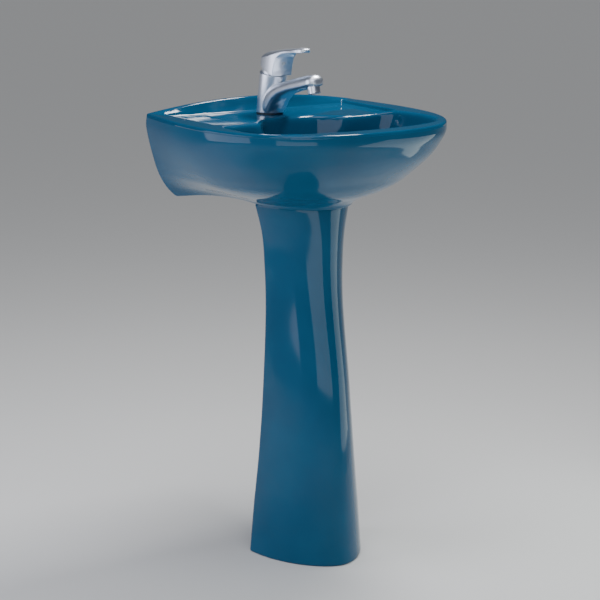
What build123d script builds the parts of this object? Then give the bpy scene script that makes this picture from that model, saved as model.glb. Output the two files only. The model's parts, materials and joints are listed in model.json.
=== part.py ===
from build123d import *
import math
import os

os.makedirs("parts", exist_ok=True)

# Axes: X to the user's right, -Y towards the user, +Z up, floor at Z = 0, in millimetres.
# "Reach" below means the distance of a point in front of the wall behind the sink.

# ---- basin ----
rim_height = 820
basin_width = 482
basin_depth = 438
wall_width = 446            # width of the rim where it meets the wall
ware_wall = 11              # thickness of the fired clay
basin_bottom = 661          # lowest edge, along the wall
seat_height = 665           # underside of the collar that stands on the pedestal
skirt_rise = 8              # arch of the side skirts' lower edge
deck_drop = 7               # tap ledge below the rim
deck_thickness = 15
ledge_half_width = 192
tray_centre = 146
tray_width = 64
tray_length = 84
lip_rise = 19               # top of the arched back lip above the rim
lip_thickness = 16
bowl_width = 396
bowl_back = 133             # reach of the rear edge of the bowl, in the bay below the tap
bay_width = 196
oval_back = 178             # reach of the rear edge of the bowl's main oval
rim_band = 42               # rim width at the nose of the basin
bowl_depth = 128
waste_reach = 225
wall_hole_spacing = 280
wall_hole_radius = 7
wall_hole_height = 775
overflow_radius = 9
overflow_drop = 50          # below the rim

# ---- pedestal ----
pedestal_back = 165         # reach of its open back
pedestal_wall = 13
foot_half_width = 109
foot_depth = 160
neck_half_width = 74
neck_depth = 112
neck_height = 540
head_half_width = 94
head_depth = 112
foot_lug = 26
foot_hole_radius = 4
foot_hole_spacing = 150

# ---- mixer tap ----
tap_reach = 67.5
tap_lean = 10.5             # degrees that the body leans towards the user
tap_radius = 25.5
tap_body_height = 78        # along the leaning axis
tap_hole_radius = 17.5
spout_reach = 217.5
hood_radius = 17.8
stream_tilt = 15            # degrees that the outlet points away from the wall
aerator_radius = 11.6
cartridge_radius = 17.4
bore_clearance = 0.2
cover_radius = 21.8
lift_height = 68            # height of the lift pivot along the leaning axis
dome_radius = 29.6          # cover dome, about the lift pivot
dome_gap = 0.5
lever_slant = 12            # slope of the lever's lower edge
lever_gap = 1.3
lever_half_width = 24
handle_half_width = 13
stem_half = 4
pin_radius = 1.5
pin_play = 0.05             # radial running clearance of the stem on its pin
stem_low = 59               # along the leaning axis
stem_high = 111.5
screw_height = 104
button_seat = 28.2          # how far forward of the axis the button's pocket ends
cover_hole = 17.2
tail_radius = 5
tail_spacing = 18
tail_spread = 38            # from the middle to each tail's lower end
tail_bend = 25
tail_length = 140           # below the deck
stud_radius = 4
stud_offset = 13            # behind the tap's centre

# ---- waste and trap ----
flange_radius = 33
waste_radius = 21.5
waste_bore = 17
plug_radius = 29
plug_seat = 4.2             # underside of the cap above the floor of the bowl
plug_stem_radius = 5
dome_of_plug = 220          # radius of its slightly domed top
guide_radius = 8
waste_length = 75
thread_radius = 20.9        # G 1 1/4 waste thread
trap_tube_radius = 16
trap_wall = 2
trap_body_radius = 31
trap_top = 575
trap_height = 112
outlet_height = 528
outlet_stub = 88            # the outlet pipe ends this far in front of the wall
free_end = 60               # length of the pipe that a wall joint takes
pipe_neck = 15.4            # the outlet pipe is drawn down where the trap's nut holds it

face_gap = 0.3
thin_seal = 2

wall_y = basin_depth / 2
deck_height = rim_height - deck_drop
waste_y = wall_y - waste_reach
tap_y = wall_y - tap_reach
tap_axes = Plane(
    origin=(0, tap_y, deck_height),
    x_dir=(1, 0, 0),
    z_dir=(0, -math.sin(math.radians(tap_lean)), math.cos(math.radians(tap_lean))),
)
lift_axes = tap_axes.offset(lift_height)
outlet_axes = Plane(
    origin=(0, wall_y - spout_reach, 876.5),
    x_dir=(1, 0, 0),
    z_dir=(0, -math.sin(math.radians(stream_tilt)), -math.cos(math.radians(stream_tilt))),
)


def keep(name, shape):
    export_step(shape, f"parts/{name}.step")


def rod(radius, low, high):
    return Pos(0, 0, (low + high) / 2) * Cylinder(radius, high - low)


def tube(outer, inner, low, high):
    return rod(outer, low, high) - rod(inner, low - 1, high + 1)


def hex_nut(across_flats, bore, low, high):
    blank = extrude(RegularPolygon(across_flats / 2, 6, major_radius=False), high - low)
    return Pos(0, 0, low) * blank - rod(bore, low - 1, high + 1)


def front_curve(half_width, back, depth, squareness, steps=6):
    """Right half of a rounded nose, from its widest point to the centre line."""
    points = []
    for step in range(steps + 1):
        angle = math.pi / 2 * step / steps
        x = half_width * math.cos(angle) ** (2 / squareness)
        reach = back + (depth - back) * math.sin(angle) ** (2 / squareness)
        points.append((x, reach))
    points[-1] = (0, depth)
    return points


def wall_section(z, half_wall, half_width, widest, depth, squareness, back=0):
    """A level section with a straight back edge and a rounded front."""
    side = []
    if widest > back:
        for share in (0, 0.35, 0.7):
            bulge = (half_width - half_wall) * (1 - share) ** 1.6
            side.append((half_width - bulge, back + share * (widest - back)))
    side += front_curve(half_width, widest, depth, squareness)
    right = [(x, wall_y - reach) for x, reach in side]
    left = [(-x, y) for x, y in reversed(right[:-1])]
    points = right + left
    edge = Spline(*points)
    outline = edge + Line(points[-1], points[0])
    return Pos(0, 0, z) * make_face(outline)


# level sections of the basin: drop below the rim, then shares of the wall width, the full
# width and the depth, the reach where the nose begins, and how square the nose is
body_levels = [
    (0, 0.985, 0.982, 0.986, 165, 2.55),
    (4, 1.000, 0.998, 0.999, 165, 2.55),
    (20, 1.010, 0.995, 0.997, 162, 2.55),
    (40, 0.996, 0.975, 0.972, 158, 2.50),
    (60, 0.975, 0.940, 0.940, 154, 2.45),
    (80, 0.950, 0.893, 0.896, 152, 2.35),
    (100, 0.922, 0.832, 0.842, 154, 2.25),
    (117, 0.890, 0.755, 0.797, 158, 2.15),
    (130, 0.857, 0.640, 0.752, 162, 2.05),
    (143, 0.814, 0.480, 0.688, 165, 1.95),
    (152, 0.775, 0.405, 0.662, 165, 1.85),
    (159, 0.740, 0.392, 0.656, 165, 1.85),
]


def basin_block(inset=0):
    sections = []
    for drop, wall_share, width_share, depth_share, widest, squareness in body_levels:
        sections.append(
            wall_section(
                rim_height - drop,
                wall_share * wall_width / 2 - inset,
                width_share * basin_width / 2 - inset,
                max(widest, inset + 1),
                depth_share * basin_depth - inset,
                squareness,
                back=inset,
            )
        )
    return loft(sections)


# The bowl is a wide oval with a narrower bay that runs back towards the tap.
# Its levels: share of the depth, then shares of the oval's width and length and of the bay's.
bowl_front = basin_depth - rim_band
bowl_middle = (bowl_front + oval_back) / 2
oval_length = bowl_front - oval_back
bowl_levels = [
    (-0.10, 1.025, 1.030, 1.02),
    (0.00, 1.000, 1.000, 1.00),
    (0.16, 0.955, 0.950, 0.95),
    (0.45, 0.870, 0.860, 0.84),
    (0.72, 0.730, 0.740, 0.70),
    (0.90, 0.500, 0.540, 0.48),
    (1.00, 0.195, 0.350, 0.22),
]


def oval_radius(cos, sin, half_x, half_y, square):
    return (abs(cos / half_x) ** square + abs(sin / half_y) ** square) ** (-1 / square)


def bowl_outline(width, length, bay, grow, steps=64):
    """Points round the bowl: x, and how far in front of its middle."""
    points = []
    for step in range(steps):
        angle = 2 * math.pi * (step + 0.5) / steps
        cos, sin = math.cos(angle), math.sin(angle)
        square = 2.6 if sin > 0 else 4.2
        oval = oval_radius(cos, sin, width * bowl_width / 2, length * oval_length / 2, square)
        if sin < 0:
            back = oval_radius(cos, sin, bay * bay_width / 2, bay * (bowl_middle - bowl_back), 3.2)
            oval = (oval**14 + back**14) ** (1 / 14)
        points.append(((oval + grow) * cos, (oval + grow) * sin))
    return points


def bowl_block(grow=0):
    """The hollow of the bowl, or with grow the outside of its wall."""
    sections = []
    for share, width, length, bay in bowl_levels:
        sink = max(share, 0)
        middle = bowl_middle + (waste_reach - bowl_middle) * sink**2
        points = bowl_outline(width, length, bay, grow)
        face = make_face(Spline(*[(x, wall_y - middle - y) for x, y in points], periodic=True))
        sections.append(Pos(0, 0, rim_height - share * bowl_depth - grow * sink) * face)
    return loft(sections)


floor_of_bowl = rim_height - bowl_depth


def pedestal_section(z, half_width, depth, shrink=0, extra_back=0):
    back = pedestal_back - extra_back
    points = front_curve(half_width - shrink, pedestal_back, pedestal_back + depth - shrink, 1.75)
    right = [(x, wall_y - reach) for x, reach in points]
    if extra_back:
        right = [(right[0][0], wall_y - back)] + right
        middle = right[1:] + [(-x, y) for x, y in reversed(right[1:-1])]
        outline = Line(right[0], middle[0]) + Spline(*middle)
        outline += Line(middle[-1], (-right[0][0], right[0][1]))
        outline += Line((-right[0][0], right[0][1]), right[0])
        return Pos(0, 0, z) * make_face(outline)
    ring = right + [(-x, y) for x, y in reversed(right[:-1])]
    return Pos(0, 0, z) * make_face(Spline(*ring) + Line(ring[-1], ring[0]))


pedestal_levels = [
    (0, foot_half_width, foot_depth),
    (84, foot_half_width - 8, foot_depth - 3),
    (192, (foot_half_width + neck_half_width) / 2 - 3, foot_depth - 7),
    (329, neck_half_width + 4, foot_depth - 18),
    (neck_height, neck_half_width, neck_depth),
    (seat_height - 54, neck_half_width + 6, neck_depth),
    (seat_height, head_half_width, head_depth),
]


def pedestal_block(shrink=0, extra_back=0):
    sections = []
    for z, half_width, depth in pedestal_levels:
        sections.append(pedestal_section(z, half_width, depth, shrink, extra_back))
    return loft(sections)


def skirt_cutter():
    """What lies below the basin: level under the collar, arched under the side skirts."""
    collar_back = pedestal_back
    low_line = Spline(
        (0, wall_y, basin_bottom),
        (0, wall_y - collar_back * 0.35, seat_height + skirt_rise * 0.4),
        (0, wall_y - collar_back * 0.62, seat_height + skirt_rise * 0.5),
        (0, wall_y - collar_back, seat_height),
    )
    round_off = Polyline(
        low_line @ 1,
        (0, wall_y - basin_depth, seat_height),
        (0, wall_y - basin_depth, basin_bottom - 50),
        (0, wall_y, basin_bottom - 50),
        (0, wall_y, basin_bottom),
    )
    return extrude(make_face(low_line + round_off), basin_width, both=True)


def make_basin():
    block = basin_block() - skirt_cutter()
    clear_low = seat_height + ware_wall
    clear_high = deck_height - deck_thickness
    band = Pos(0, wall_y - basin_depth / 2, (clear_low + clear_high) / 2) * Box(
        basin_width * 2, basin_depth * 2, clear_high - clear_low
    )
    hollow = (basin_block(inset=ware_wall) & band) - bowl_block(grow=ware_wall)
    basin = block - hollow - bowl_block()
    basin += Pos(0, waste_y, 0) * rod(waste_radius + 9, floor_of_bowl - 13, floor_of_bowl)
    basin -= Pos(0, waste_y, 0) * rod(waste_radius, floor_of_bowl - 60, floor_of_bowl + 30)
    basin -= Pos(0, waste_y, floor_of_bowl + 2) * Cylinder(flange_radius + 1, 6)
    # open underside: between the side skirts, and down into the pedestal
    mouth = wall_section(
        basin_bottom - 5,
        0.74 * wall_width / 2 - 17,
        head_half_width - pedestal_wall,
        pedestal_back,
        pedestal_back + head_depth - pedestal_wall - 2,
        1.85,
        back=ware_wall,
    )
    basin -= extrude(mouth, clear_low - basin_bottom + 6)
    # ledge for the tap, from the back lip to the bowl
    ledge_front = oval_back + 20
    ledge = Pos(0, wall_y - (lip_thickness + ledge_front) / 2, rim_height) * Box(
        2 * ledge_half_width, ledge_front - lip_thickness, 2 * deck_drop
    )
    basin -= fillet(ledge.edges().filter_by(Axis.Z), 14)
    for side in (-1, 1):
        tray = Pos(side * tray_centre, wall_y - 30 - tray_length / 2, deck_height) * Box(
            tray_width, tray_length, 6
        )
        basin -= fillet(tray.edges().filter_by(Axis.Z), 12)
    basin -= Pos(0, tap_y, deck_height) * Cylinder(tap_hole_radius, 120)
    # arched lip along the wall
    arch = make_face(
        Line((-wall_width / 2, -deck_drop), (wall_width / 2, -deck_drop))
        + Line((wall_width / 2, -deck_drop), (wall_width / 2, 0))
        + ThreePointArc((wall_width / 2, 0), (0, lip_rise), (-wall_width / 2, 0))
        + Line((-wall_width / 2, 0), (-wall_width / 2, -deck_drop))
    )
    lip = extrude(Plane.XZ.offset(-wall_y) * arch, lip_thickness)
    basin += Pos(0, 0, rim_height) * lip
    for side in (-1, 1):
        basin -= Pos(side * wall_hole_spacing / 2, wall_y, wall_hole_height) * (
            Rot(90, 0, 0) * Cylinder(wall_hole_radius, 60)
        )
    overflow = Pos(0, wall_y - bowl_back, rim_height - overflow_drop) * (
        Rot(90, 0, 0) * Cylinder(overflow_radius, 70)
    )
    return basin - overflow


def make_pedestal():
    cut = 40
    column = pedestal_block() - pedestal_block(shrink=pedestal_wall, extra_back=cut)
    outside = pedestal_block()
    for side in (-1, 1):
        place = Pos(side * foot_hole_spacing / 2, wall_y - pedestal_back - foot_lug / 2, 7)
        column += (place * Pos(side * foot_lug, 0, 0) * Box(3 * foot_lug, foot_lug, 14)) & outside
        column -= place * Cylinder(foot_hole_radius, 40)
    return column


def at_tap(shape):
    return tap_axes.location * shape


def at_lift(shape):
    return lift_axes.location * shape


def at_outlet(shape):
    return outlet_axes.location * shape


# ---- mixer tap ----
bore_floor = 44             # height of the cartridge bore's floor along the leaning axis
base_low = bore_floor + 1.6
disc_low = base_low + 4
disc_thickness = 4
disc_film = 0.05            # water film between the two ceramic discs
moving_disc_radius = 11.5
shell_inner = 15.6
shell_top = 73
collar_neck = 10.6
nut_low = shell_top + 0.2
port_places = [(-7, 2), (7, 2), (0, -8)]


def spout_block():
    root = tap_reach + 8
    under = Spline(
        (0, wall_y - tap_reach - 22, deck_height + thin_seal),
        (0, wall_y - tap_reach - 34, deck_height + 20),
        (0, wall_y - tap_reach - 52, deck_height + 34),
        (0, wall_y - tap_reach - 84, deck_height + 46),
        (0, wall_y - spout_reach + 14, deck_height + 58.5),
    )
    lip = Line(under @ 1, (0, wall_y - spout_reach - hood_radius, deck_height + 67))
    brow = Spline(
        lip @ 1,
        (0, wall_y - spout_reach - hood_radius * 0.8, deck_height + 76),
        (0, wall_y - spout_reach - 2, deck_height + 84.5),
        (0, wall_y - spout_reach + 20, deck_height + 81),
        (0, wall_y - root - 40, deck_height + 64.5),
    )
    back = Polyline(
        brow @ 1,
        (0, wall_y - root, deck_height + 56),
        (0, wall_y - tap_reach, deck_height + thin_seal),
        under @ 0,
    )
    profile = extrude(make_face(under + lip + brow + back), 40, both=True)
    tip_y = wall_y - spout_reach
    half_root = tap_radius - 2
    plan = make_face(
        Polyline(
            (hood_radius - 0.4, tip_y),
            (hood_radius + 1.5, tip_y + 50),
            (half_root, tap_y - 22),
            (half_root, tap_y),
            (-half_root, tap_y),
            (-half_root, tap_y - 22),
            (-hood_radius - 1.5, tip_y + 50),
            (-hood_radius + 0.4, tip_y),
        )
        + ThreePointArc(
            (-hood_radius + 0.4, tip_y), (0, tip_y - hood_radius), (hood_radius - 0.4, tip_y)
        )
    )
    return profile & extrude(plan, 1000)


def make_tap_body():
    upright = at_tap(rod(tap_radius, -12, tap_body_height))
    above_deck = Pos(0, 0, deck_height + thin_seal + 150) * Box(200, 900, 300)
    body = (upright & above_deck) + spout_block()
    body -= at_tap(rod(cartridge_radius + bore_clearance, bore_floor, tap_body_height + 1))
    body -= at_tap(rod(cartridge_radius + 1.4, shell_top - 4, tap_body_height + 1))
    # waterway from the cartridge to the outlet
    start = Vector(0, wall_y - tap_reach - 22, deck_height + 52)
    end = Vector(0, wall_y - spout_reach, 880)
    run = end - start
    way = Plane(origin=start, z_dir=run).location * rod(6, -6, run.length)
    body -= way
    body -= at_outlet(rod(aerator_radius + 0.1, -6, 30))
    body -= at_outlet(rod(8, -10, 0))
    # inlets for the two tails and the fixing stud, from below
    for side in (-1, 1):
        body -= Pos(side * tail_spacing / 2, tap_y, deck_height) * rod(tail_radius, -1, 22)
        body -= at_tap(Pos(side * 7, 2, 0) * rod(2.5, 18, bore_floor + 1))
    body -= Pos(0, tap_y + stud_offset, deck_height) * rod(stud_radius, -1, 16)
    return body


def make_lever():
    # side view in (forward, up) of the leaning axes, from the back of the skirt round
    low_front = tap_body_height + lever_gap
    rise = math.tan(math.radians(lever_slant))
    nose = 28.5
    skirt_back = -20.5
    low_back = low_front + (nose - skirt_back) * rise
    top_line = Spline(
        (skirt_back, low_back),
        (-23.5, 97),
        (-21.5, 106),
        (-14, 114),
        (2, 120.5),
        (28, 129.5),
        (66, 141.5),
        (101, 151),
    )
    tip_line = ThreePointArc((101, 151), (105, 148), (101.5, 144.5))
    under_line = Spline(
        (101.5, 144.5),
        (82, 139.5),
        (60, 133.5),
        (44, 127.5),
        (36, 119),
        (31, 105),
        (nose, 86),
    )
    close_line = Polyline((nose, 86), (nose, low_front), (skirt_back, low_back))
    flat = make_face(top_line + tip_line + under_line + close_line)
    side_view = Plane(origin=(0, 0, 0), x_dir=(0, -1, 0), z_dir=(-1, 0, 0))
    profile = extrude(side_view * flat, 40, both=True)
    skirt_half = lever_half_width
    plan_right = Spline(
        (0, 26),
        (15, 21),
        (skirt_half, 2),
        (skirt_half - 0.5, -16),
        (20, -34),
        (handle_half_width + 2.5, -60),
        (handle_half_width, -92),
        (handle_half_width - 5, -102.5),
        (0, -105),
        tangents=((1, 0), (-1, 0)),
    )
    plan_left = mirror(plan_right, about=Plane.YZ)
    plan = make_face(plan_right + plan_left)
    lever = profile & extrude(plan, 200)
    cavity = Pos(0, 0, lift_height) * Sphere(dome_radius + dome_gap)
    lever -= cavity
    socket = Pos(0, 0, stem_high - 8.5) * Box(2 * stem_half + 0.2, 2 * stem_half + 0.2, 18)
    lever -= socket
    screw_way = Pos(0, -(stem_half + 20), screw_height) * (Rot(90, 0, 0) * Cylinder(2.5, 42))
    lever -= screw_way
    lever -= Pos(0, -button_seat - 6, screw_height) * (Rot(90, 0, 0) * Cylinder(4, 12))
    return at_tap(lever)


def make_cover():
    ring = rod(cover_radius, tap_body_height, tap_body_height + 30)
    ring &= Pos(0, 0, lift_height) * Sphere(dome_radius)
    return at_tap(ring - rod(cover_hole, tap_body_height - 1, tap_body_height + 40))


def make_lever_button():
    """Hot and cold index button that hides the set screw."""
    button = Pos(0, -button_seat - 1.6, screw_height) * (Rot(90, 0, 0) * Cylinder(3.9, 3.2))
    return at_tap(button)


def make_set_screw():
    low = stem_half + 0.1
    screw = Pos(0, -low - 6, screw_height) * (Rot(90, 0, 0) * Cylinder(2.4, 12))
    key = extrude(RegularPolygon(1.3, 6, major_radius=False), 5)
    key = Pos(0, -low - 7.5, screw_height) * (Rot(90, 0, 0) * key)
    return at_tap(screw - key)


def make_cartridge_seals():
    rings = []
    for x, y in port_places:
        rings.append(Pos(x, y, 0) * tube(4.2, 2.8, bore_floor, base_low))
    return at_tap(Compound(rings))


def drilled(disc, low, high):
    for x, y in port_places:
        disc -= Pos(x, y, 0) * rod(2.6, low - 1, high + 1)
    return disc


def make_cartridge_base():
    return at_tap(drilled(rod(cartridge_radius, base_low, disc_low), base_low, disc_low))


def make_fixed_disc():
    high = disc_low + disc_thickness
    return at_tap(drilled(rod(shell_inner - 0.1, disc_low, high), disc_low, high))


def make_moving_disc():
    low = disc_low + disc_thickness + disc_film
    disc = rod(moving_disc_radius, low, low + disc_thickness)
    disc -= Pos(0, 2, low) * Box(16, 9, 3)
    return at_tap(disc)


def make_cartridge_shell():
    shell = tube(cartridge_radius, shell_inner, disc_low, shell_top)
    shell += tube(cartridge_radius, collar_neck + 0.4, shell_top - 2.5, shell_top)
    return at_tap(shell)


def make_turn_collar():
    low = disc_low + 2 * disc_thickness + disc_film + 0.4
    high = shell_top - 2.5 - face_gap
    collar = rod(shell_inner - face_gap, low, high) + rod(collar_neck, high, shell_top - 0.1)
    collar -= Pos(0, 0, 65) * Box(2 * (stem_half + face_gap), 17, 60)
    collar -= Pos(0, 0, lift_height) * (Rot(0, 90, 0) * Cylinder(pin_radius, 60))
    return at_tap(collar)


def make_stem():
    stem = Pos(0, 0, (stem_low + stem_high) / 2) * Box(
        2 * stem_half, 2 * stem_half, stem_high - stem_low
    )
    stem -= Pos(0, 0, lift_height) * (Rot(0, 90, 0) * Cylinder(pin_radius + pin_play, 60))
    return at_tap(stem)


def make_stem_pin():
    return at_lift(Rot(0, 90, 0) * Cylinder(pin_radius, 24))


def make_cartridge_nut():
    ring = tube(cartridge_radius + 1.3, 12.5, nut_low, tap_body_height - face_gap)
    for angle in (0, 90, 180, 270):
        ring -= Rot(0, 0, angle) * (Pos(15.5, 0, tap_body_height - 1) * Box(3, 4, 3))
    return at_tap(ring)


def make_aerator_housing():
    ring = tube(aerator_radius, aerator_radius - 1.8, -4, 13)
    for side in (-1, 1):
        ring -= Pos(side * aerator_radius, 0, 9.5) * Box(1.2, 8, 8)
    return at_outlet(ring)


def make_aerator_insert():
    insert = rod(aerator_radius - 2, -3.5, 11.5)
    for ring, count in ((0, 1), (3.2, 6), (6.6, 12)):
        for step in range(count):
            angle = 2 * math.pi * step / count
            hole = rod(0.9, -5, 12)
            insert -= Pos(ring * math.cos(angle), ring * math.sin(angle), 0) * hole
    return at_outlet(insert)


def make_aerator_washer():
    return at_outlet(tube(aerator_radius - 0.2, 8, -6, -4))


def make_base_gasket():
    ring = tube(tap_radius - 0.6, tap_hole_radius - 0.2, 0, thin_seal)
    return Pos(0, tap_y, deck_height) * ring


def horseshoe(low, high):
    plate = rod(26, low, high) - Pos(0, -11, (low + high) / 2) * Box(31, 38, 10)
    return plate - Pos(0, stud_offset, 0) * rod(stud_radius + 0.2, low - 1, high + 1)


def under_deck(shape):
    return Pos(0, tap_y, deck_height - deck_thickness) * shape


def make_stud():
    return Pos(0, tap_y + stud_offset, deck_height) * rod(stud_radius, -70, 15.8)


def make_stud_nut():
    nut = hex_nut(13, stud_radius + 0.1, -5 - 8, -5)
    return under_deck(Pos(0, stud_offset, 0) * nut)


def make_tail(side):
    """Copper tail: down through the deck, bent outwards, then straight down."""
    near = side * tail_spacing / 2
    far = side * tail_spread
    path = FilletPolyline(
        (near, tap_y, deck_height + 21),
        (near, tap_y, deck_height - 45),
        (far, tap_y, deck_height - 80),
        (far, tap_y, deck_height - tail_length),
        radius=tail_bend,
    )
    start = Plane(origin=path @ 0, z_dir=path % 0)
    section = start * (Circle(tail_radius - 0.05) - Circle(tail_radius - 1))
    return sweep(section, path)


def at_waste(shape):
    return Pos(0, waste_y, floor_of_bowl) * shape


def make_waste_flange_gasket():
    return at_waste(tube(flange_radius - 2, waste_radius + 0.3, -1, 0))


def make_waste_body():
    body = tube(thread_radius, waste_bore, -waste_length, 0.5)
    flange = rod(flange_radius, 0, 2.5) - Pos(0, 0, 1.25) * Cone(waste_bore, 27, 2.5)
    body += flange
    web = Pos(0, 0, -25) * Box(2 * waste_bore + 2, 22, 6)
    body += web & rod(waste_bore + 1, -40, 0)
    body -= rod(guide_radius + 0.1, -40, 0)
    for side in (-1, 1):
        body -= Pos(0, side * thread_radius, -7) * Box(18, 12, 7)
    return at_waste(body)


def make_plug_guide():
    guide = rod(guide_radius, -34, -2.5) + rod(guide_radius + 2, -22, -20)
    return at_waste(guide - rod(plug_stem_radius + 0.06, -31, 0))


def make_plug():
    cap = rod(plug_radius, plug_seat, plug_seat + 3)
    cap += Pos(0, 0, plug_seat + 3) * (
        Pos(0, 0, 2 - dome_of_plug) * Sphere(dome_of_plug)
        & rod(plug_radius - 0.5, -1, 4)
    )
    return at_waste(cap + rod(plug_stem_radius, -29, plug_seat))


def make_plug_seal():
    return at_waste(tube(plug_radius - 4, plug_stem_radius + 9, plug_seat - 1.6, plug_seat))


def make_waste_back_gasket():
    return at_waste(tube(waste_radius + 7, thread_radius + 0.1, -15, -13))


def make_waste_nut():
    return at_waste(hex_nut(50, thread_radius + 0.05, -25, -15))


def at_trap(shape):
    return Pos(0, waste_y, trap_top) * shape


def make_trap_inlet_nut():
    low = -waste_length - 10
    nut = hex_nut(48, thread_radius + 0.05, low, -waste_length + 12)
    return at_waste(nut + tube(23, trap_tube_radius + 0.3, low - 3, low))


def make_trap_inlet_washer():
    low = -waste_length - 8
    return at_waste(tube(thread_radius - 0.3, trap_tube_radius + 0.05, low, -waste_length))


def make_dip_tube():
    low = trap_top - trap_height + 32
    pipe = tube(trap_tube_radius, trap_tube_radius - 1.5, low, floor_of_bowl - waste_length - 0.2)
    return Pos(0, waste_y, 0) * pipe


def make_trap_body():
    body = tube(trap_body_radius, trap_body_radius - trap_wall, -trap_height, -8)
    body += tube(trap_body_radius, trap_tube_radius + 0.2, -8, -5)
    body += tube(trap_tube_radius + 5, trap_tube_radius + 0.2, -5, 8)
    boss = Rot(-90, 0, 0) * rod(19, trap_body_radius - 3, trap_body_radius + 14)
    boss = Pos(0, 0, outlet_height - trap_top) * boss
    body += boss
    way = Pos(0, 0, outlet_height - trap_top) * (Rot(-90, 0, 0) * rod(14, 10, 80))
    return at_trap(body - way)


def make_trap_top_nut():
    return at_trap(
        tube(24.5, trap_tube_radius + 5.1, -4.8, 12) + tube(24.5, trap_tube_radius + 0.3, 12, 14)
    )


def make_trap_cup_washer():
    low = -trap_height - thin_seal
    return at_trap(tube(trap_body_radius, trap_body_radius - 6, low, -trap_height))


def make_trap_cup():
    low = -trap_height - thin_seal
    cup = tube(trap_body_radius + 3, trap_body_radius + 0.1, low, low + 14)
    cup += rod(trap_body_radius + 3, low - 24, low)
    cup -= rod(trap_body_radius - 3, low - 20, low + 1)
    cup += rod(12, low - 30, low - 24)
    return at_trap(cup)


def at_outlet_pipe(shape):
    return Pos(0, waste_y, outlet_height) * (Rot(-90, 0, 0) * shape)


boss_end = trap_body_radius + 14


def make_outlet_washer():
    return at_outlet_pipe(tube(19, pipe_neck + 0.05, boss_end, boss_end + 3))


def make_outlet_nut():
    nut = tube(23, 19.1, boss_end - 10, boss_end + 3)
    return at_outlet_pipe(nut + tube(23, pipe_neck + 0.3, boss_end + 3, boss_end + 6))


def make_outlet_pipe():
    far = waste_reach - outlet_stub
    outside = rod(pipe_neck, boss_end + 0.2, far - free_end)
    outside += rod(trap_tube_radius, far - free_end, far)
    return at_outlet_pipe(outside - rod(trap_tube_radius - 1.5, 0, far + 1))


keep("basin", make_basin())
keep("pedestal", make_pedestal())
keep("tap_body", make_tap_body())
keep("lever", make_lever())
keep("lever_button", make_lever_button())
keep("lever_set_screw", make_set_screw())
keep("cartridge_cover", make_cover())
keep("cartridge_nut", make_cartridge_nut())
keep("cartridge_shell", make_cartridge_shell())
keep("cartridge_base", make_cartridge_base())
keep("cartridge_seals", make_cartridge_seals())
keep("fixed_disc", make_fixed_disc())
keep("moving_disc", make_moving_disc())
keep("turn_collar", make_turn_collar())
keep("stem", make_stem())
keep("stem_pin", make_stem_pin())
keep("aerator_housing", make_aerator_housing())
keep("aerator_insert", make_aerator_insert())
keep("aerator_washer", make_aerator_washer())
keep("tap_base_gasket", make_base_gasket())
keep("clamp_gasket", under_deck(horseshoe(-2, 0)))
keep("clamp_plate", under_deck(horseshoe(-5, -2)))
keep("tap_stud", make_stud())
keep("tap_stud_nut", make_stud_nut())
keep("hot_tail", make_tail(-1))
keep("cold_tail", make_tail(1))
keep("waste_body", make_waste_body())
keep("waste_flange_gasket", make_waste_flange_gasket())
keep("waste_back_gasket", make_waste_back_gasket())
keep("waste_nut", make_waste_nut())
keep("plug", make_plug())
keep("plug_seal", make_plug_seal())
keep("plug_guide", make_plug_guide())
keep("trap_inlet_nut", make_trap_inlet_nut())
keep("trap_inlet_washer", make_trap_inlet_washer())
keep("trap_dip_tube", make_dip_tube())
keep("trap_body", make_trap_body())
keep("trap_top_nut", make_trap_top_nut())
keep("trap_cup", make_trap_cup())
keep("trap_cup_washer", make_trap_cup_washer())
keep("outlet_nut", make_outlet_nut())
keep("outlet_washer", make_outlet_washer())
keep("outlet_pipe", make_outlet_pipe())
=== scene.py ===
"""Pedestal sink: glazed china basin and pedestal with a single-lever mixer."""
import json
import math

import bmesh
import bpy
import numpy as np
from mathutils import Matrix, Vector


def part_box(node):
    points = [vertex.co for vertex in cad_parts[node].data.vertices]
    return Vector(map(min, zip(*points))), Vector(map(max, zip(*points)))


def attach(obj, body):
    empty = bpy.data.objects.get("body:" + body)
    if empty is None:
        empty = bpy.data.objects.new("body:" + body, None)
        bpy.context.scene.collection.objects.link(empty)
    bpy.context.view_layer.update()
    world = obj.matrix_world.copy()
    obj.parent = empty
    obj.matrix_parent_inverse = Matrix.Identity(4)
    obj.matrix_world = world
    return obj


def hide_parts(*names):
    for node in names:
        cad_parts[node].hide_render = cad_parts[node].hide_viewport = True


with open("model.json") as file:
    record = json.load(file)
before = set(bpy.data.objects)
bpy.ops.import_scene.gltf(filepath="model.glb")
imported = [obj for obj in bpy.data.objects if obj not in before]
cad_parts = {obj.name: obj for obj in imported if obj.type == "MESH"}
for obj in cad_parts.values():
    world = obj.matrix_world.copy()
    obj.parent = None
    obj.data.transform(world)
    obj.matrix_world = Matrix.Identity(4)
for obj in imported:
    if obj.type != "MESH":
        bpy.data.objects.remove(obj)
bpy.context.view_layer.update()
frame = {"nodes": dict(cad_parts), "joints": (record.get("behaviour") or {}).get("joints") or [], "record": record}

MM = 0.001
TURN_STEPS = 96


# ---------------------------------------------------------------- places taken from the frame
def node_box(name):
    low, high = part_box(name)
    return [v / MM for v in low], [v / MM for v in high]


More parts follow.
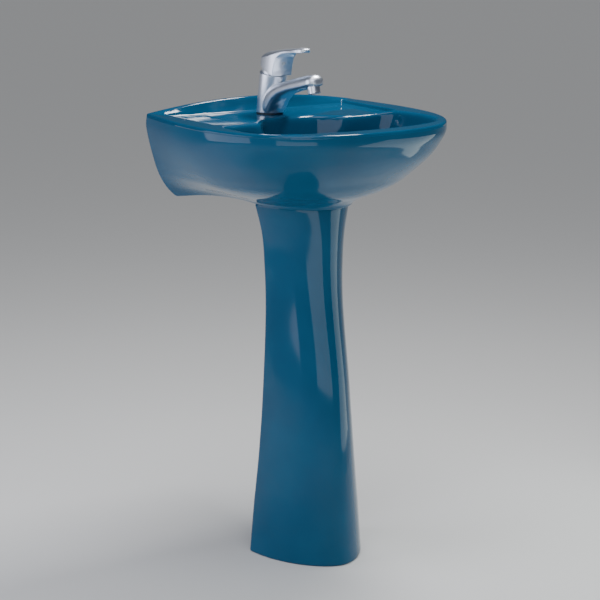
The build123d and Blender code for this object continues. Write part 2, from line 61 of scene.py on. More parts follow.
basin_low, basin_high = node_box("basin")
ped_high = node_box("pedestal")[1]
WALL_Y = basin_high[1]
DEPTH = basin_high[1] - basin_low[1]
PED_BACK = WALL_Y - ped_high[1]
LIP_RISE = 19.0
RIM = basin_high[2] - LIP_RISE
BOTTOM = basin_low[2]
JOINTS = {j["name"]: j for j in frame["joints"]}
turn = JOINTS["lever_turn"]
lift = JOINTS["lever_lift"]
TAP_BASE = Vector(turn["pos_m"]) / MM
TAP_UP = Vector(turn["axis"]).normalized()
TAP_SIDE = Vector((1, 0, 0))
TAP_BACK = TAP_UP.cross(TAP_SIDE)
TAP_REACH = WALL_Y - TAP_BASE.y
LIFT_HEIGHT = (Vector(lift["pos_m"]) / MM - TAP_BASE).dot(TAP_UP)
DECK = TAP_BASE.z
WASTE_REACH = WALL_Y - sum(edge[1] for edge in node_box("waste_body")) / 2


def place(x, reach, z):
    """Millimetres right of the middle, in front of the wall and above the floor, to metres."""
    return (x * MM, (WALL_Y - reach) * MM, z * MM)


def in_tap(x, forward, up):
    """A point in the leaning axes of the tap, in millimetres, to metres."""
    point = TAP_BASE + TAP_SIDE * x - TAP_BACK * forward + TAP_UP * up
    return tuple(point * MM)


# ---------------------------------------------------------------- curves and meshes
def smooth(keys, values, at):
    """Catmull-Rom curve through (key, value) pairs, read at one place or many."""
    keys = np.asarray(keys, float)
    values = np.asarray(values, float)
    at = np.clip(np.asarray(at, float), keys[0], keys[-1])
    slope = np.gradient(values, keys)
    index = np.clip(np.searchsorted(keys, at, side="right") - 1, 0, len(keys) - 2)
    span = keys[index + 1] - keys[index]
    t = (at - keys[index]) / span
    h00 = 2 * t**3 - 3 * t**2 + 1
    h10 = t**3 - 2 * t**2 + t
    h01 = -2 * t**3 + 3 * t**2
    h11 = t**3 - t**2
    low, high = values[index], values[index + 1]
    return h00 * low + h10 * span * slope[index] + h01 * high + h11 * span * slope[index + 1]


def step(value):
    """Smooth 0 to 1 ramp."""
    t = np.clip(value, 0, 1)
    return t * t * (3 - 2 * t)


def resample(points, count):
    """Points at equal spacing along a polyline."""
    points = np.asarray(points, float)
    length = np.concatenate([[0], np.cumsum(np.linalg.norm(np.diff(points, axis=0), axis=1))])
    at = np.linspace(0, length[-1], count)
    return np.stack([np.interp(at, length, points[:, axis]) for axis in range(points.shape[1])], 1)


def new_object(name, bm):
    """An object in the scene from a finished bmesh, which is freed."""
    mesh = bpy.data.meshes.new(name)
    bm.to_mesh(mesh)
    bm.free()
    piece = bpy.data.objects.new(name, mesh)
    bpy.context.scene.collection.objects.link(piece)
    return piece


def skin(name, rings, loop=False):
    """Faces between closed rings of points, in metres.

    With loop the last ring joins the first, otherwise both ends are capped.
    """
    bm = bmesh.new()
    rows = [[bm.verts.new(p) for p in ring] for ring in rings]
    pairs = list(zip(rows[:-1], rows[1:]))
    if loop:
        pairs.append((rows[-1], rows[0]))
    count = len(rows[0])
    for low, high in pairs:
        for i in range(count):
            j = (i + 1) % count
            bm.faces.new((low[i], low[j], high[j], high[i]))
    if not loop:
        bm.faces.new(list(reversed(rows[0])))
        bm.faces.new(rows[-1])
    bmesh.ops.recalc_face_normals(bm, faces=bm.faces)
    for face in bm.faces:
        face.smooth = True
    return new_object(name, bm)


def apply_modifiers(piece):
    """Puts the result of the piece's modifiers into its mesh."""
    graph = bpy.context.evaluated_depsgraph_get()
    mesh = bpy.data.meshes.new_from_object(piece.evaluated_get(graph))
    piece.modifiers.clear()
    piece.data = mesh
    for polygon in mesh.polygons:
        polygon.use_smooth = True
    return piece


def carve(piece, cutter, operation="DIFFERENCE"):
    """Cuts, joins or intersects with another object, which is then removed."""
    cut = piece.modifiers.new("cut", "BOOLEAN")
    cut.operation = operation
    cut.solver = "EXACT"
    cut.object = cutter
    apply_modifiers(piece)
    bpy.data.objects.remove(cutter)
    return piece


def remesh(piece, voxel, rounds):
    """One even skin over joined shapes, with its edges rounded by smoothing."""
    modifier = piece.modifiers.new("remesh", "REMESH")
    modifier.mode = "VOXEL"
    modifier.voxel_size = voxel * MM
    modifier.use_smooth_shade = True
    soften = piece.modifiers.new("soften", "SMOOTH")
    soften.factor = 0.5
    soften.iterations = rounds
    return apply_modifiers(piece)


def turned(name, profile):
    """A turned piece: (radius, height) profile about the leaning axis of the tap."""
    rings = []
    for radius, height in profile:
        ring = []
        for k in range(TURN_STEPS):
            angle = 2 * math.pi * k / TURN_STEPS
            ring.append(in_tap(radius * math.cos(angle), radius * math.sin(angle), height))
        rings.append(ring)
    return skin(name, rings)


def cylinder(name, radius, start, end, steps=64):
    """A plain cutter between two points, in metres."""
    start, end = Vector(start), Vector(end)
    axis = (end - start).normalized()
    side = axis.orthogonal().normalized()
    other = axis.cross(side)
    rings = []
    for centre in (start, end):
        ring = []
        for k in range(steps):
            angle = 2 * math.pi * k / steps
            out = side * math.cos(angle) + other * math.sin(angle)
            ring.append(tuple(centre + out * radius * MM))
        rings.append(ring)
    return skin(name, rings)


# ---------------------------------------------------------------- basin
# drop below the rim, then shares of the wall width, the full width and the depth,
# the reach of the widest point, and how square the nose is
WALL_WIDTH = 446.0
BODY_WIDTH = 482.0
BODY_LEVELS = np.array([
    (0, 1.000, 0.998, 0.998, 165, 2.55),
    (20, 1.010, 0.995, 0.997, 162, 2.55),
    (40, 0.996, 0.975, 0.972, 158, 2.50),
    (60, 0.975, 0.940, 0.940, 154, 2.45),
    (80, 0.950, 0.893, 0.896, 152, 2.35),
    (100, 0.922, 0.832, 0.842, 154, 2.25),
    (117, 0.890, 0.755, 0.797, 158, 2.15),
    (130, 0.857, 0.640, 0.752, 162, 2.05),
    (143, 0.814, 0.480, 0.688, 165, 1.95),
    (152, 0.775, 0.405, 0.662, 165, 1.85),
    (159, 0.740, 0.392, 0.656, 165, 1.85),
])
EDGE_ROUND = 5.0
BACK_POINTS = 110
SIDE_POINTS = 250
CHINA_WALL = 11.0
BOWL_WIDTH = 396.0
BOWL_BACK = 133.0
BAY_WIDTH = 196.0
OVAL_BACK = 178.0
RIM_BAND = 42.0
BOWL_DEPTH = 128.0
BOWL_ROUND = 8.0
BOWL_SMOOTHING = 60
DECK_DROP = RIM - DECK
DECK_CHINA = 15.0
LEDGE_HALF = 198.0
LEDGE_BACK = 15.0
LEDGE_FRONT = 206.0
TRAY_MIDDLE = 146.0
TRAY_HALF = 31.0
TRAY_BACK = 30.0
TRAY_FRONT = 98.0
TRAY_EDGE = 5.0
TRAY_SINK = 2.2
LIP_FACE = 7.0
LIP_SLOPE = 10.0
BACK_ROUND = 2.5
FOOT_ROUND = 2.5
WALL_HOLE_X = 140.0
WALL_HOLE_Z = 775.0
WALL_HOLE_RADIUS = 7.0
TAP_HOLE_RADIUS = 17.5
OVERFLOW_RADIUS = 9.0
OVERFLOW_DROP = 50.0
# radius and height above the bowl's floor: the waste's seat, its hole and the boss below
WASTE_SEAT = ((34.5, 0.2), (34, -0.8), (21.5, -1), (21.5, -13), (30.5, -13))


def even_out(half, rounds=70):
    """Spreads the bend where two curves meet. The corner stays, the nose stays on the middle."""
    for _ in range(rounds):
        beyond = half[-2] * (-1, 1)
        padded = np.vstack([half, beyond])
        half[1:] = half[1:] / 2 + (padded[:-2] + padded[2:]) / 4
    return half


def half_outline(half_wall, half_width, widest, depth, square, back):
    """Right half of a level section, from its back corner to the nose: (x, reach)."""
    share = np.linspace(0, 1, 200)
    back_x = half_width - (half_width - half_wall) * (1 - share) ** 1.6
    back_part = np.stack([back_x, back + share * (widest - back)], 1)
    angle = np.linspace(0, math.pi / 2, 1500)[1:]
    x = half_width * np.cos(angle) ** (2 / square)
    reach = widest + (depth - widest) * np.sin(angle) ** (2 / square)
    points = np.concatenate([back_part, np.stack([x, reach], 1)])
    points[-1] = (0, depth)
    return even_out(resample(points, SIDE_POINTS + 1))


def full_ring(half, back):
    """Closed ring from the middle of the back, round by the right."""
    back_x = np.linspace(0, half[0, 0], BACK_POINTS + 1)
    back_line = np.stack([back_x, np.full(BACK_POINTS + 1, back)], 1)
    right = np.concatenate([back_line[:-1], half])
    left = right[1:-1][::-1] * (-1, 1)
    return np.concatenate([right, left])


def body_ring(drop, inset=0.0):
    """Level section of the body at a drop below the rim, moved in by inset."""
    wall, width, depth, widest, square = [
        float(smooth(BODY_LEVELS[:, 0], BODY_LEVELS[:, k], drop)) for k in range(1, 6)
    ]
    half = half_outline(
        wall * WALL_WIDTH / 2 - inset,
        width * BODY_WIDTH / 2 - inset,
        max(widest, inset + 1),
        depth * DEPTH - inset,
        square,
        inset,
    )
    return full_ring(half, inset)


# share of the depth, then shares of the oval's width and length and of the bay's
BOWL_LEVELS = np.array([
    (0.00, 1.000, 1.000, 1.00),
    (0.16, 0.955, 0.950, 0.95),
    (0.45, 0.870, 0.860, 0.84),
    (0.72, 0.730, 0.740, 0.70),
    (0.90, 0.500, 0.540, 0.48),
    (1.00, 0.195, 0.350, 0.22),
])
bowl_front = DEPTH - RIM_BAND
bowl_length = bowl_front - OVAL_BACK
bowl_middle = (bowl_front + OVAL_BACK) / 2
rim_ring = body_ring(0.0)
ring_angle = np.arctan2(rim_ring[:, 1] - bowl_middle, rim_ring[:, 0])


def oval_radius(cos, sin, half_x, half_y, square):
    """Distance from the middle to the edge of a squared oval, by direction."""
    return (np.abs(cos / half_x) ** square + np.abs(sin / half_y) ** square) ** (-1 / square)


def bowl_ring(share, grow=0.0):
    """Level section of the bowl, with a point on each of the rim ring's directions."""
    width, length, bay = [smooth(BOWL_LEVELS[:, 0], BOWL_LEVELS[:, k], share) for k in range(1, 4)]
    middle = bowl_middle + (WASTE_REACH - bowl_middle) * share**2
    cos, sin = np.cos(ring_angle), np.sin(ring_angle)
    square = 3.4 - 0.8 * np.clip(sin * 4, -1, 1)
    radius = oval_radius(cos, sin, width * BOWL_WIDTH / 2, length * bowl_length / 2, square)
    back = oval_radius(cos, sin, bay * BAY_WIDTH / 2, bay * (bowl_middle - BOWL_BACK), 3.2)
    bayed = (radius**14 + back**14) ** (1 / 14)
    radius = np.where(sin < 0, bayed, radius) + grow
    for _ in range(BOWL_SMOOTHING):
        radius = radius / 2 + (np.roll(radius, 1) + np.roll(radius, -1)) / 4
    return np.stack([radius * cos, middle + radius * sin], 1)


def ledge_share(x, reach):
    """1 on the sunk tap ledge, 0 on the raised border."""
    sides = step((LEDGE_HALF - np.abs(x)) / 6)
    return sides * step((reach - LEDGE_BACK) / 6) * step((LEDGE_FRONT - reach) / 28)


def top_height(x, reach):
    """Height of the rim, ledge, trays and back lip above the rim plane."""
    height = -DECK_DROP * ledge_share(x, reach)
    across = np.abs(np.abs(x) - TRAY_MIDDLE)
    tray = step((TRAY_HALF - across) / TRAY_EDGE) * step((reach - TRAY_BACK) / TRAY_EDGE)
    tray = tray * step((TRAY_FRONT - reach) / TRAY_EDGE)
    height = height - tray * TRAY_SINK
    arch = LIP_RISE * (1 - (x / (WALL_WIDTH / 2)) ** 2)
    lip = 1 - step((reach - LIP_FACE) / LIP_SLOPE)
    return height + np.maximum(arch, 0) * lip


def round_off(distance, radius):
    """Drop of a rounded edge at a distance inside it."""
    inside = np.clip(radius - distance, 0, radius)
    return radius - np.sqrt(np.maximum(radius**2 - inside**2, 0))


# level sections of the body, one for each millimetre below the rim
DROPS = np.arange(0, 160.0)
OUTSIDE = np.stack([body_ring(drop) for drop in DROPS])
INSIDE = np.stack([body_ring(drop, CHINA_WALL) for drop in DROPS])


def at_drop(table, drop):
    """The ring of a table of level sections, with each point at its own drop below the rim."""
    low = np.clip(np.floor(drop).astype(int), 0, len(DROPS) - 2)
    part = np.clip(drop - low, 0, 1)[:, None]
    column = np.arange(table.shape[1])
    return table[low, column] * (1 - part) + table[low + 1, column] * part


def low_edge(reach):
    """Lower edge of the china: arched under the side skirts, level under the collar."""
    seat = ped_high[2]
    keys = [0, 58, 102, PED_BACK, DEPTH]
    return smooth(keys, [BOTTOM, seat + 3.2, seat + 4, seat, seat], reach)


def soften_rows(rows, start, end, rounds):
    """Evens out the slope across a run of rows, so that an edge turns softly."""
    for _ in range(rounds):
        middle = (rows[start - 1:end - 1] + rows[start + 1:end + 1]) / 2
        rows[start:end] = (rows[start:end] + middle) / 2
    return rows


def level(ring, z):
    """The ring's points with their heights, the same for all or one for each."""
    return np.column_stack([ring, np.broadcast_to(z, len(ring))])


def make_basin():
    """One closed skin: outside, top, bowl, waste hole and hollow underside."""
    low_z = low_edge(OUTSIDE[-1][:, 1])
    rows = []
    # outside, from the lower edge up to where the rim's edge begins to round
    for share in np.linspace(0, math.pi / 2, 6)[:-1]:
        drop = RIM - low_z - FOOT_ROUND * (1 - math.cos(share))
        ring = at_drop(OUTSIDE, drop)
        inner = at_drop(INSIDE, drop)
        pull = FOOT_ROUND * (1 - math.sin(share)) / CHINA_WALL
        rows.append(level(ring + (inner - ring) * pull, RIM - drop))
    foot = RIM - low_z - FOOT_ROUND
    for share in np.linspace(0, 1, 90):
        drop = foot + (EDGE_ROUND - foot) * share
        rows.append(level(at_drop(OUTSIDE, drop), RIM - drop))
    # top: over the rim and the ledge to the edge of the bowl
    sink = (BOWL_ROUND + DECK_DROP * ledge_share(*bowl_ring(0.0).T)) / BOWL_DEPTH
    inner = bowl_ring(sink)
    gap = np.linalg.norm(rim_ring - inner, axis=1)
    unit = (inner - rim_ring) / gap[:, None]
    is_back = rim_ring[:, 1] < 0.5
    edge = np.where(is_back, BACK_ROUND, EDGE_ROUND)
    lead = 1 - np.cos(np.linspace(0, math.pi / 2, 12))
    across = [edge * share for share in lead]
    across += [edge + share * (gap - edge - BOWL_ROUND) for share in np.linspace(0, 1, 88)[1:-1]]
    across += [gap - BOWL_ROUND * share for share in lead[::-1]]
    for distance in across:
        ring = rim_ring + unit * distance[:, None]
        height = top_height(ring[:, 0], ring[:, 1])
        height = height - round_off(distance, edge) - round_off(gap - distance, BOWL_ROUND)
        rows.append(level(ring, RIM + height))
    brink = len(rows)
    # bowl
    for share in np.sin(np.linspace(0, math.pi / 2, 60))[1:]:
        depth = sink + (1 - sink) * share
        rows.append(level(bowl_ring(depth), RIM - depth * BOWL_DEPTH))
    rows = list(soften_rows(np.array(rows), brink - 11, brink + 9, 26))
    # waste seat and hole, then the boss under it
    for radius, above in WASTE_SEAT:
        x, reach = radius * np.cos(ring_angle), WASTE_REACH + radius * np.sin(ring_angle)
        rows.append(level(np.stack([x, reach], 1), RIM - BOWL_DEPTH + above))
    # hollow underside: round the bowl, under the ledge and down the skirts
    under_deck = DECK_DROP + DECK_CHINA
    for share in np.linspace(0.97, under_deck / BOWL_DEPTH, 20):
        drop = share * BOWL_DEPTH + CHINA_WALL * share * 0.6
        rows.append(level(bowl_ring(share, CHINA_WALL), RIM - drop))
    foot = RIM - low_edge(INSIDE[-1][:, 1]) - 2
    for share in np.linspace(0, 1, 40):
        drop = under_deck + (foot - under_deck) * share
        rows.append(level(at_drop(INSIDE, drop), RIM - drop))
    return skin("basin_china", [[place(*point) for point in row] for row in rows], loop=True)


def drill_basin(basin):
    """The two wall holes, the tap hole and the overflow."""
    for side in (-1, 1):
        x = side * WALL_HOLE_X
        ends = place(x, -5, WALL_HOLE_Z), place(x, 30, WALL_HOLE_Z)
        carve(basin, cylinder("hole", WALL_HOLE_RADIUS, *ends))
    ends = place(0, TAP_REACH, DECK - 30), place(0, TAP_REACH, DECK + 30)
    carve(basin, cylinder("hole", TAP_HOLE_RADIUS, *ends))
    ends = place(0, 95, RIM - OVERFLOW_DROP), place(0, 168, RIM - OVERFLOW_DROP)
    carve(basin, cylinder("hole", OVERFLOW_RADIUS, *ends))
    return basin


# ---------------------------------------------------------------- pedestal
# height, then half the width and the depth
PED_LEVELS = np.array([
    (0, 109, 160),
    (84, 101, 157),
    (192, 88.5, 153),
    (329, 78, 142),
    (540, 74, 112),
    (611, 80, 112),
    (665, 94, 112),
], float)
PED_WALL = 13.0
PED_SQUARE = 1.75
FREE_EDGE = 5.0
ARC_POINTS = 160
LUG = 26.0
LUG_HOLE = 75.0
LUG_OUTER = 99.0
LUG_THICK = 14.0
LUG_ROUND = 1.5
LUG_HOLE_RADIUS = 4.0


def ped_arc(z, shrink):
    """The outside of the wall at a height, moved in by shrink: (x, reach)."""
    half_width = float(smooth(PED_LEVELS[:, 0], PED_LEVELS[:, 1], z)) - shrink
    depth = float(smooth(PED_LEVELS[:, 0], PED_LEVELS[:, 2], z)) - shrink
    angle = np.linspace(0, math.pi, 2401)
    cos, sin = np.cos(angle), np.sin(angle)
    x = half_width * np.sign(cos) * np.abs(cos) ** (2 / PED_SQUARE)
    reach = PED_BACK + depth * np.abs(sin) ** (2 / PED_SQUARE)
    clear = reach > PED_BACK + FREE_EDGE
    return resample(np.stack([x[clear], reach[clear]], 1), ARC_POINTS)


def free_edge(start, end):
    """Rounded edge of the wall along the open back."""
    share = np.linspace(0, 1, 11)[1:-1]
    x = start[0] + (end[0] - start[0]) * 0.5 * (1 - np.cos(math.pi * share))
    reach = PED_BACK + FREE_EDGE * (1 - np.sin(math.pi * share) ** 0.6)
    return np.stack([x, reach], 1)


def make_pedestal():
    """One closed skin: each ring goes round the outside, over the open edge and back inside."""
    rings = []
    corner = np.array([0, 0.4, 1.2, 2.4, 4.0])
    top = ped_high[2]
    for z in np.concatenate([corner, np.linspace(8, top - 8, 90), top - corner[::-1]]):
        pull = float(round_off(min(z, top - z), corner[-1]))
        outside = ped_arc(z, pull)
        inside = ped_arc(z, PED_WALL - pull)[::-1]
        left = free_edge(outside[-1], inside[0])
        right = free_edge(inside[-1], outside[0])
        ring = np.concatenate([outside, left, inside, right])
        rings.append([place(x, reach, z) for x, reach in ring])
    pedestal = skin("pedestal_china", rings)
    for side in (-1, 1):
        carve(pedestal, foot_lug(side), "UNION")
        x, reach = LUG_HOLE * side, PED_BACK + LUG / 2
        ends = place(x, reach, -5), place(x, reach, 30)
        carve(pedestal, cylinder("hole", LUG_HOLE_RADIUS, *ends, 48))
    return pedestal


def foot_lug(side):
    """A flat lug inside the foot for a floor screw, with rounded edges."""
    bm = bmesh.new()
    bmesh.ops.create_cube(bm, size=1)
    inner = LUG_HOLE - LUG / 2
    for vertex in bm.verts:
        x = side * (inner + (vertex.co.x + 0.5) * (LUG_OUTER - inner))
        reach = PED_BACK + LUG_ROUND + (vertex.co.y + 0.5) * (LUG - LUG_ROUND)
        vertex.co = place(x, reach, LUG_THICK * (vertex.co.z + 0.5))
    bmesh.ops.recalc_face_normals(bm, faces=bm.faces)
    upper = [edge for edge in bm.edges if max(v.co.z for v in edge.verts) > 0.01]
    bmesh.ops.bevel(
        bm, geom=upper, offset=LUG_ROUND * MM, segments=4, profile=0.5, affect="EDGES"
    )
    return new_object("lug", bm)


# ---------------------------------------------------------------- mixer tap
TAP_RADIUS = 25.5
TAP_TOP = 78.0
BORE_RADIUS = 18.8
GASKET = 2.0
# reach, half width, top and bottom of the spout's sections
SPOUT_LEVELS = np.array([
    (72, 23.5, 862, 815.5),
    (89, 23.8, 867, 815.5),
    (95, 23.6, 869, 824),
    (103, 23.2, 871.5, 834.5),
    (119, 22.3, 875.5, 847),
    (150, 20.8, 883.3, 859),
    (180, 19.6, 890, 866.3),
    (203, 18.6, 895.2, 871.5),
    (217.5, 17.8, 897.4, 875.4),
])
SPOUT_REACH, HOOD, HOOD_TOP, HOOD_LOW = SPOUT_LEVELS[-1]
HOOD_RISE = 4.6
LEVER_GAP = 1.3
LEVER_SLANT = math.radians(12)
LEVER_NOSE = 28.5
LEVER_BACK = -20.5
DOME = 29.6
DOME_CLEARANCE = 0.5


def make_tap_body():
    """Leaning column with the spout grown out of it, and the bore for the cartridge."""
    column = []
    for up in [None, *np.linspace(6, TAP_TOP, 30)]:
        ring = []
        for k in range(TURN_STEPS):
            angle = 2 * math.pi * k / TURN_STEPS
            x, forward = TAP_RADIUS * math.cos(angle), TAP_RADIUS * math.sin(angle)
            height = up
            if up is None:
                # foot ring lies level on the gasket
                height = (GASKET + forward * TAP_BACK.z) / TAP_UP.z
            ring.append(in_tap(x, forward, height))
        column.append(ring)
    body = skin("tap_casting", column)
    rings = []
    for reach in np.concatenate([[72, 82], np.linspace(89, SPOUT_REACH, 46)]):
        half, top, low = [
            float(smooth(SPOUT_LEVELS[:, 0], SPOUT_LEVELS[:, k], reach)) for k in (1, 2, 3)
        ]
        rings.append(spout_section(reach, half, top, low))
    for bend in np.linspace(0, math.pi / 2, 16)[1:]:
        reach = SPOUT_REACH + HOOD * math.sin(bend)
        half = max(HOOD * math.cos(bend), 0.3)
        low = HOOD_LOW + HOOD_RISE * math.sin(bend)
        top = low + (HOOD_TOP - HOOD_LOW) * max(math.cos(bend), 0.02) ** 0.8
        rings.append(spout_section(reach, half, top, low))
    carve(body, skin("spout", rings), "UNION")
    remesh(body, 0.8, 14)
    carve(body, cylinder("bore", BORE_RADIUS, in_tap(0, 0, 60), in_tap(0, 0, TAP_TOP + 5)))
    return body


def spout_section(reach, half, top, low):
    """Round crown above, flatter underside with a tighter edge."""
    ring = []
    waist = low + (top - low) * 0.36
    for k in range(72):
        angle = 2 * math.pi * k / 72
        cos, sin = math.cos(angle), math.sin(angle)
        if sin >= 0:
            power, height = 2.3, top - waist
        else:
            power, height = 3.2, waist - low
        x = half * math.copysign(abs(cos) ** (2 / power), cos)
        z = waist + height * math.copysign(abs(sin) ** (2 / power), sin)
        ring.append(place(x, reach, z))
    return ring


def curve_points(points):
    """A smooth line through a few given points."""
    points = np.asarray(points, float)
    length = np.concatenate([[0], np.cumsum(np.linalg.norm(np.diff(points, axis=0), axis=1))])
    at = np.linspace(0, length[-1], 14 * (len(points) - 1) + 1)
    return np.stack([smooth(length, points[:, 0], at), smooth(length, points[:, 1], at)], 1)


def slab(name, outline, to_low, to_high):
    """A prism between two copies of an outline."""
    rings = [[to_low(a, b) for a, b in outline], [to_high(a, b) for a, b in outline]]
    return skin(name, rings)


def crown(lever, top):
    """Lowers the sides of the flat top, so that the helmet and handle are domed across."""
    for vertex in lever.data.vertices:
        offset = vertex.co / MM - TAP_BASE
        forward, up = -offset.dot(TAP_BACK), offset.dot(TAP_UP)
        ridge = float(np.interp(forward, top[:, 0], top[:, 1]))
        near_top = float(step((up - ridge + 20) / 20))
        half = float(np.interp(forward, [-20, 5, 60, 105], [22, 24, 15.5, 12]))
        fall = float(np.interp(forward, [-20, 10, 45, 105], [10, 9, 4, 2]))
        drop = fall * min(abs(offset.x) / half, 1.0) ** 2.2 * near_top
        vertex.co -= TAP_UP * drop * MM
    lever.data.update()


def make_lever():
    """Side profile crossed with the plan, domed on top, with room for the ring below."""
    low_front = TAP_TOP + LEVER_GAP
    low_back = low_front + (LEVER_NOSE - LEVER_BACK) * math.tan(LEVER_SLANT)
    # the profile's points are (forward, up) in the tap's axes
    top = curve_points([
        (LEVER_BACK, low_back), (-23.5, 97), (-21.5, 106), (-14, 114), (2, 120.5),
        (28, 129.5), (66, 141.5), (96, 149.7), (103, 150.2),
    ])
    under = curve_points([
        (105, 148.2), (102.5, 144.8), (82, 139.5), (60, 134.0), (44, 128.0), (35.5, 119),
        (31, 105), (LEVER_NOSE, 90),
    ])
    outline = np.concatenate([top, under, [(LEVER_NOSE, low_front)]])
    lever = slab(
        "lever_side", outline, lambda f, u: in_tap(-40, f, u), lambda f, u: in_tap(40, f, u)
    )
    # half of the plan, as (backward, sideways)
    half = curve_points([
        (26, 0), (24.5, 9), (20, 17), (10, 22.5), (-2, 24), (-16, 23.4), (-34, 20),
        (-60, 15.5), (-88, 13.2), (-99, 10.5), (-104, 5), (-105, 0),
    ])
    plan = np.concatenate([half, half[1:-1][::-1] * (1, -1)])
    above = slab(
        "lever_plan", plan, lambda b, x: in_tap(x, -b, 60), lambda b, x: in_tap(x, -b, 180)
    )
    carve(lever, above, "INTERSECT")
    lever.name = "lever_casting"
    remesh(lever, 0.75, 16)
    crown(lever, top)
    radius = DOME + DOME_CLEARANCE
    arc = np.linspace(0.02, math.pi - 0.02, 60)
    profile = [(radius * math.sin(a), LIFT_HEIGHT - radius * math.cos(a)) for a in arc]
    carve(lever, turned("ball", profile))
    return lever


# ---------------------------------------------------------------- materials
def material(name):
    made = bpy.data.materials.new(name)
    made.use_nodes = True
    tree = made.node_tree
    shader = tree.nodes["Principled BSDF"]
    return made, tree, shader


def noise(tree, scale, detail):
    """Noise fixed to the piece's own coordinates."""
    where = tree.nodes.new("ShaderNodeTexCoord")
    node = tree.nodes.new("ShaderNodeTexNoise")
    node.inputs["Scale"].default_value = scale
    node.inputs["Detail"].default_value = detail
    node.inputs["Roughness"].default_value = 0.5
    tree.links.new(where.outputs["Object"], node.inputs["Vector"])
    return node


def ramp(tree, source, low, high, target):
    """Drives a socket between two colours, or two greys for a plain number, by the noise."""
    node = tree.nodes.new("ShaderNodeValToRGB")
    node.color_ramp.elements[0].position = 0.3
    node.color_ramp.elements[0].color = (*low, 1)
    node.color_ramp.elements[1].position = 0.7
    node.color_ramp.elements[1].color = (*high, 1)
    tree.links.new(source.outputs["Fac"], node.inputs["Fac"])
    tree.links.new(node.outputs["Color"], target)


def bump(tree, shader, source, strength, distance):
    """Fine relief; the distance is in millimetres."""
    node = tree.nodes.new("ShaderNodeBump")
    node.inputs["Strength"].default_value = strength
    node.inputs["Distance"].default_value = distance * MM
    tree.links.new(source.outputs["Fac"], node.inputs["Height"])
    tree.links.new(node.outputs["Normal"], shader.inputs["Normal"])


def glaze():
    made, tree, shader = material("blue_glaze")
    cloud = noise(tree, 9.0, 3.0)
    low, high = (0.003, 0.060, 0.128), (0.005, 0.074, 0.152)
    ramp(tree, cloud, low, high, shader.inputs["Base Color"])
    shader.inputs["Roughness"].default_value = 0.08
    shader.inputs["Specular IOR Level"].default_value = 0.24
    peel = noise(tree, 60.0, 2.0)
    bump(tree, shader, peel, 0.05, 0.10)
    return made


def satin_chrome():
    made, tree, shader = material("satin_chrome")
    grain = noise(tree, 900.0, 2.0)
    ramp(tree, grain, (0.78, 0.83, 0.92), (0.87, 0.91, 0.99), shader.inputs["Base Color"])
    shader.inputs["Metallic"].default_value = 1.0
    ramp(tree, grain, (0.32,) * 3, (0.40,) * 3, shader.inputs["Roughness"])
    bump(tree, shader, grain, 0.05, 0.03)
    return made


def metal(name, low, high, rough_low, rough_high):
    made, tree, shader = material(name)
    grain = noise(tree, 220.0, 5.0)
    ramp(tree, grain, low, high, shader.inputs["Base Color"])
    shader.inputs["Metallic"].default_value = 1.0
    ramp(tree, grain, (rough_low,) * 3, (rough_high,) * 3, shader.inputs["Roughness"])
    bump(tree, shader, grain, 0.04, 0.05)
    return made


def plain(name, low, high, rough):
    made, tree, shader = material(name)
    grain = noise(tree, 140.0, 4.0)
    ramp(tree, grain, low, high, shader.inputs["Base Color"])
    shader.inputs["Roughness"].default_value = rough
    bump(tree, shader, grain, 0.15, 0.05)
    return made


LOOKS = {
    "glazed_china": glaze(),
    "satin_chrome": satin_chrome(),
    "bright_chrome": metal("bright_chrome", (0.70, 0.71, 0.73), (0.80, 0.81, 0.83), 0.05, 0.12),
    "index_plastic": plain("index_plastic", (0.42, 0.45, 0.50), (0.55, 0.58, 0.62), 0.25),
    "steel": metal("zinc_steel", (0.50, 0.51, 0.53), (0.62, 0.63, 0.64), 0.30, 0.45),
    "brass": metal("machined_brass", (0.62, 0.44, 0.18), (0.76, 0.58, 0.28), 0.22, 0.34),
    "copper": metal("copper_tube", (0.60, 0.28, 0.16), (0.76, 0.42, 0.28), 0.22, 0.36),
    "white_plastic": plain("white_plastic", (0.70, 0.70, 0.67), (0.80, 0.80, 0.77), 0.4),
    "disc_ceramic": plain("disc_ceramic", (0.80, 0.77, 0.70), (0.88, 0.85, 0.79), 0.2),
    "black_rubber": plain("black_rubber", (0.012, 0.012, 0.013), (0.03, 0.03, 0.032), 0.6),
}


SLOT_OF = {row["node"]: row["material_slot"] for row in frame["record"]["subparts"]}
BODIES = frame["record"]["behaviour"]["bodies"]
BODY_OF = {node: body for body, nodes in BODIES.items() for node in nodes}
for node, thing in frame["nodes"].items():
    if not thing.material_slots:
        thing.data.materials.append(None)
    for slot in thing.material_slots:
        slot.material = LOOKS[SLOT_OF[node]]


def stands_for(piece, node):
    """A finer piece takes the place of a CAD node, on its body and in its finish."""
    piece.data.materials.clear()
    piece.data.materials.append(LOOKS[SLOT_OF[node]])
    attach(piece, BODY_OF[node])
    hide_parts(node)


stands_for(drill_basin(make_basin()), "basin")
stands_for(make_pedestal(), "pedestal")
stands_for(make_tap_body(), "tap_body")
stands_for(make_lever(), "lever")


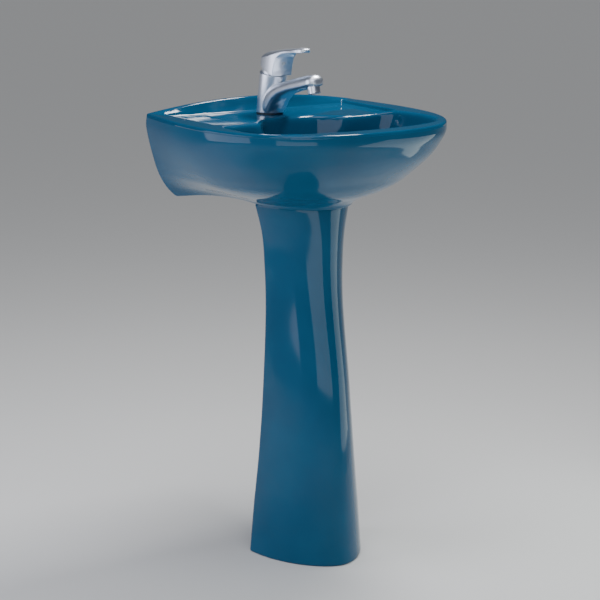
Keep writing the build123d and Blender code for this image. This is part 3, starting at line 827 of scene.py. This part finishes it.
# ---------------------------------------------------------------- floor, light and camera
def make_floor():
    bm = bmesh.new()
    bmesh.ops.create_grid(bm, x_segments=1, y_segments=1, size=40)
    floor = new_object("floor", bm)
    made, _, shader = material("pale_floor")
    shader.inputs["Base Color"].default_value = (0.64, 0.64, 0.63, 1)
    shader.inputs["Roughness"].default_value = 0.7
    floor.data.materials.append(made)


def aimed(name, data, look):
    """A lamp or camera object looking along a direction."""
    thing = bpy.data.objects.new(name, data)
    bpy.context.scene.collection.objects.link(thing)
    thing.rotation_mode = "QUATERNION"
    thing.rotation_quaternion = look.to_track_quat("-Z", "Y")
    return thing


def soft_light(name, where, aim, width, height, power, colour=(1, 1, 1)):
    """A rectangular panel of light, aimed at a point, that the camera doesn't see directly."""
    data = bpy.data.lights.new(name, "AREA")
    data.shape = "RECTANGLE"
    data.size, data.size_y = width, height
    data.energy = power
    data.color = colour
    lamp = aimed(name, data, Vector(aim) - Vector(where))
    lamp.location = where
    lamp.visible_camera = False


make_floor()
world = bpy.data.worlds.new("studio")
world.use_nodes = True
sky = world.node_tree.nodes["Background"]
sky.inputs["Color"].default_value = (0.60, 0.68, 0.85, 1)
sky.inputs["Strength"].default_value = 0.10
bpy.context.scene.world = world
soft_light("top_box", (0.6, 0.1, 2.2), (0, 0.1, 0.8), 0.7, 0.26, 36)
soft_light("key_box", (-1.35, -1.35, 1.85), (0, 0, 0.8), 1.7, 1.2, 17, (0.88, 0.90, 1.0))
soft_light("front_panel", (-0.95, -1.2, 0.42), (-0.1, -0.15, 0.75), 1.2, 0.5, 4, (0.92, 1, 0.97))
soft_light("left_panel", (-1.7, 0.6, 0.9), (0, 0, 0.65), 1.5, 1.5, 20, (0.86, 0.88, 1.0))
soft_light("right_panel", (0.75, -0.55, 0.32), (0.03, -0.15, 0.78), 1, 0.6, 4.5, (0.90, 1, 0.95))
sun_data = bpy.data.lights.new("room", "SUN")
sun_data.energy = 1.25
sun_data.angle = math.radians(40)
aimed("room", sun_data, Vector((0.12, 0.25, -1)))

camera_data = bpy.data.cameras.new("camera")
camera_data.lens = 109.9
camera_data.sensor_width = 36.0
camera = aimed("camera", camera_data, Vector((0.52139, 0.82289, -0.22585)))
camera.location = (-1.7785, -2.9798 + WALL_Y * MM, 1.2454)
bpy.context.scene.camera = camera
